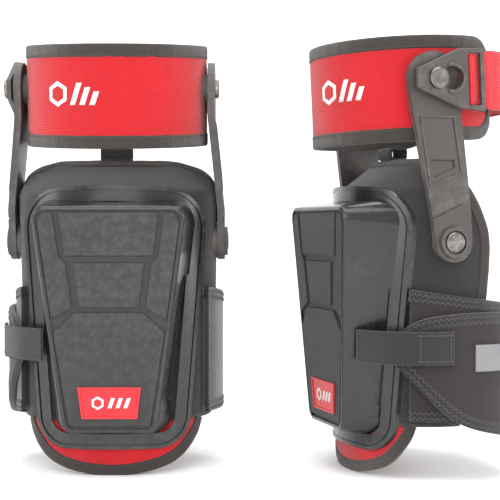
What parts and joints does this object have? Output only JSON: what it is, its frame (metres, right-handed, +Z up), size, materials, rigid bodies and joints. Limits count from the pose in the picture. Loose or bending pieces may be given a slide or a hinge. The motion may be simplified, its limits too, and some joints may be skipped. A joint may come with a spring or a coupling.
{
  "type": "knee pads",
  "caption": "Pair of hinged knee pads: hard grooved caps on padded bodies with calf straps, and side arms up to buckled thigh cuffs.",
  "frame": {"origin": "the right leg's axis at the height of the lowest edge of the pads", "axes": "+Z up along the leg, +X from the wearer's right leg to the left leg, -Y the way the right knee faces"},
  "size_m": [0.4355, 0.1931, 0.3665],
  "materials": {
    "cap plastic": "gloss",
    "tread plastic": "matt",
    "badge rubber": "satin",
    "foam": "matt",
    "black fabric": "matt",
    "black knit lining": "matt",
    "ribbed tape": "matt",
    "red fabric": "matt",
    "black webbing": "matt",
    "neoprene": "matt",
    "neoprene edge": "matt",
    "arm plastic": "satin",
    "rivet metal": "satin",
    "label fabric": "matt",
    "red elastic": "matt"
  },
  "bodies": {
    "right_knee": {"right_cap_shell": "cap plastic", "right_cap_tread": "tread plastic", "right_cap_badge": "badge rubber", "right_foam_core": "foam", "right_fabric_body": "black fabric", "right_knee_liner": "black knit lining", "right_body_binding": "ribbed tape", "right_shin_flap": "red fabric", "right_flap_binding": "ribbed tape", "right_pull_loop": "black webbing", "right_outer_wing": "neoprene", "right_inner_wing": "neoprene", "right_wing_binding": "neoprene edge", "right_pivot_pads": "arm plastic", "right_lower_rivets": "rivet metal"},
    "right_strap": {"right_calf_strap": "neoprene", "right_strap_binding": "neoprene edge", "right_strap_tab": "black webbing", "right_strap_label": "label fabric"},
    "right_outer_arm": {"right_outer_arm": "arm plastic"},
    "right_inner_arm": {"right_inner_arm": "arm plastic"},
    "right_cuff": {"right_cuff_panel": "red fabric", "right_cuff_binding": "ribbed tape", "right_cuff_lining": "black knit lining", "right_upper_pads": "arm plastic", "right_keyhole_stud": "rivet metal", "right_inner_rivet": "rivet metal"},
    "right_buckle": {"right_buckle_plate": "arm plastic", "right_elastic_strap": "red elastic"},
    "left_knee": {"left_cap_shell": "cap plastic", "left_cap_tread": "tread plastic", "left_cap_badge": "badge rubber", "left_foam_core": "foam", "left_fabric_body": "black fabric", "left_knee_liner": "black knit lining", "left_body_binding": "ribbed tape", "left_shin_flap": "red fabric", "left_flap_binding": "ribbed tape", "left_pull_loop": "black webbing", "left_outer_wing": "neoprene", "left_inner_wing": "neoprene", "left_wing_binding": "neoprene edge", "left_pivot_pads": "arm plastic", "left_lower_rivets": "rivet metal"},
    "left_strap": {"left_calf_strap": "neoprene", "left_strap_binding": "neoprene edge", "left_strap_tab": "black webbing", "left_strap_label": "label fabric"},
    "left_outer_arm": {"left_outer_arm": "arm plastic"},
    "left_inner_arm": {"left_inner_arm": "arm plastic"},
    "left_cuff": {"left_cuff_panel": "red fabric", "left_cuff_binding": "ribbed tape", "left_cuff_lining": "black knit lining", "left_upper_pads": "arm plastic", "left_keyhole_stud": "rivet metal", "left_inner_rivet": "rivet metal"},
    "left_buckle": {"left_buckle_plate": "arm plastic", "left_elastic_strap": "red elastic"}
  },
  "joints": [
    {"name": "pads_apart", "type": "slide", "parent": "right_knee", "child": "left_knee", "axis": [1, 0, 0], "range_m": [0, 0.3]},
    {"name": "right_arm_swing", "type": "hinge", "parent": "right_knee", "child": "right_outer_arm", "pos_m": [-0.09, 0.0085, 0.195], "axis": [-1, 0, 0], "range_deg": [-10, 75]},
    {"name": "right_inner_arm_swing", "type": "hinge", "parent": "right_knee", "child": "right_inner_arm", "pos_m": [0.09, 0.0085, 0.195], "axis": [-1, 0, 0], "range_deg": [-10, 75]},
    {"name": "right_cuff_tilt", "type": "hinge", "parent": "right_outer_arm", "child": "right_cuff", "pos_m": [-0.082, -0.006, 0.326], "axis": [1, 0, 0], "range_deg": [-20, 20]},
    {"name": "right_buckle_slide", "type": "slide", "parent": "right_cuff", "child": "right_buckle", "axis": [0, -0.9945, -0.1045], "range_m": [0, 0.0127], "deforming": ["right_elastic_strap"]},
    {"name": "right_strap_open", "type": "hinge", "parent": "right_knee", "child": "right_strap", "pos_m": [0.06, 0.066, 0.087], "axis": [0, 0, -1], "range_deg": [0, 60]},
    {"name": "left_arm_swing", "type": "hinge", "parent": "left_knee", "child": "left_outer_arm", "pos_m": [0.2779, -0.08297, 0.195], "axis": [-0.309, 0.9511, 0], "range_deg": [-10, 75]},
    {"name": "left_inner_arm_swing", "type": "hinge", "parent": "left_knee", "child": "left_inner_arm", "pos_m": [0.22227, 0.08822, 0.195], "axis": [-0.309, 0.9511, 0], "range_deg": [-10, 75]},
    {"name": "left_cuff_tilt", "type": "hinge", "parent": "left_outer_arm", "child": "left_cuff", "pos_m": [0.26163, -0.07984, 0.326], "axis": [0.309, -0.9511, 0], "range_deg": [-20, 20]},
    {"name": "left_buckle_slide", "type": "slide", "parent": "left_cuff", "child": "left_buckle", "axis": [-0.9502, -0.3087, -0.0436], "range_m": [0, 0.0127], "deforming": ["left_elastic_strap"]},
    {"name": "left_strap_open", "type": "hinge", "parent": "left_knee", "child": "left_strap", "pos_m": [0.28623, 0.07746, 0.087], "axis": [0, 0, 1], "range_deg": [0, 60]}
  ],
  "couplings": [
    {"joint": "right_inner_arm_swing", "follows": "right_arm_swing", "ratio": 1},
    {"joint": "left_inner_arm_swing", "follows": "left_arm_swing", "ratio": 1}
  ]
}
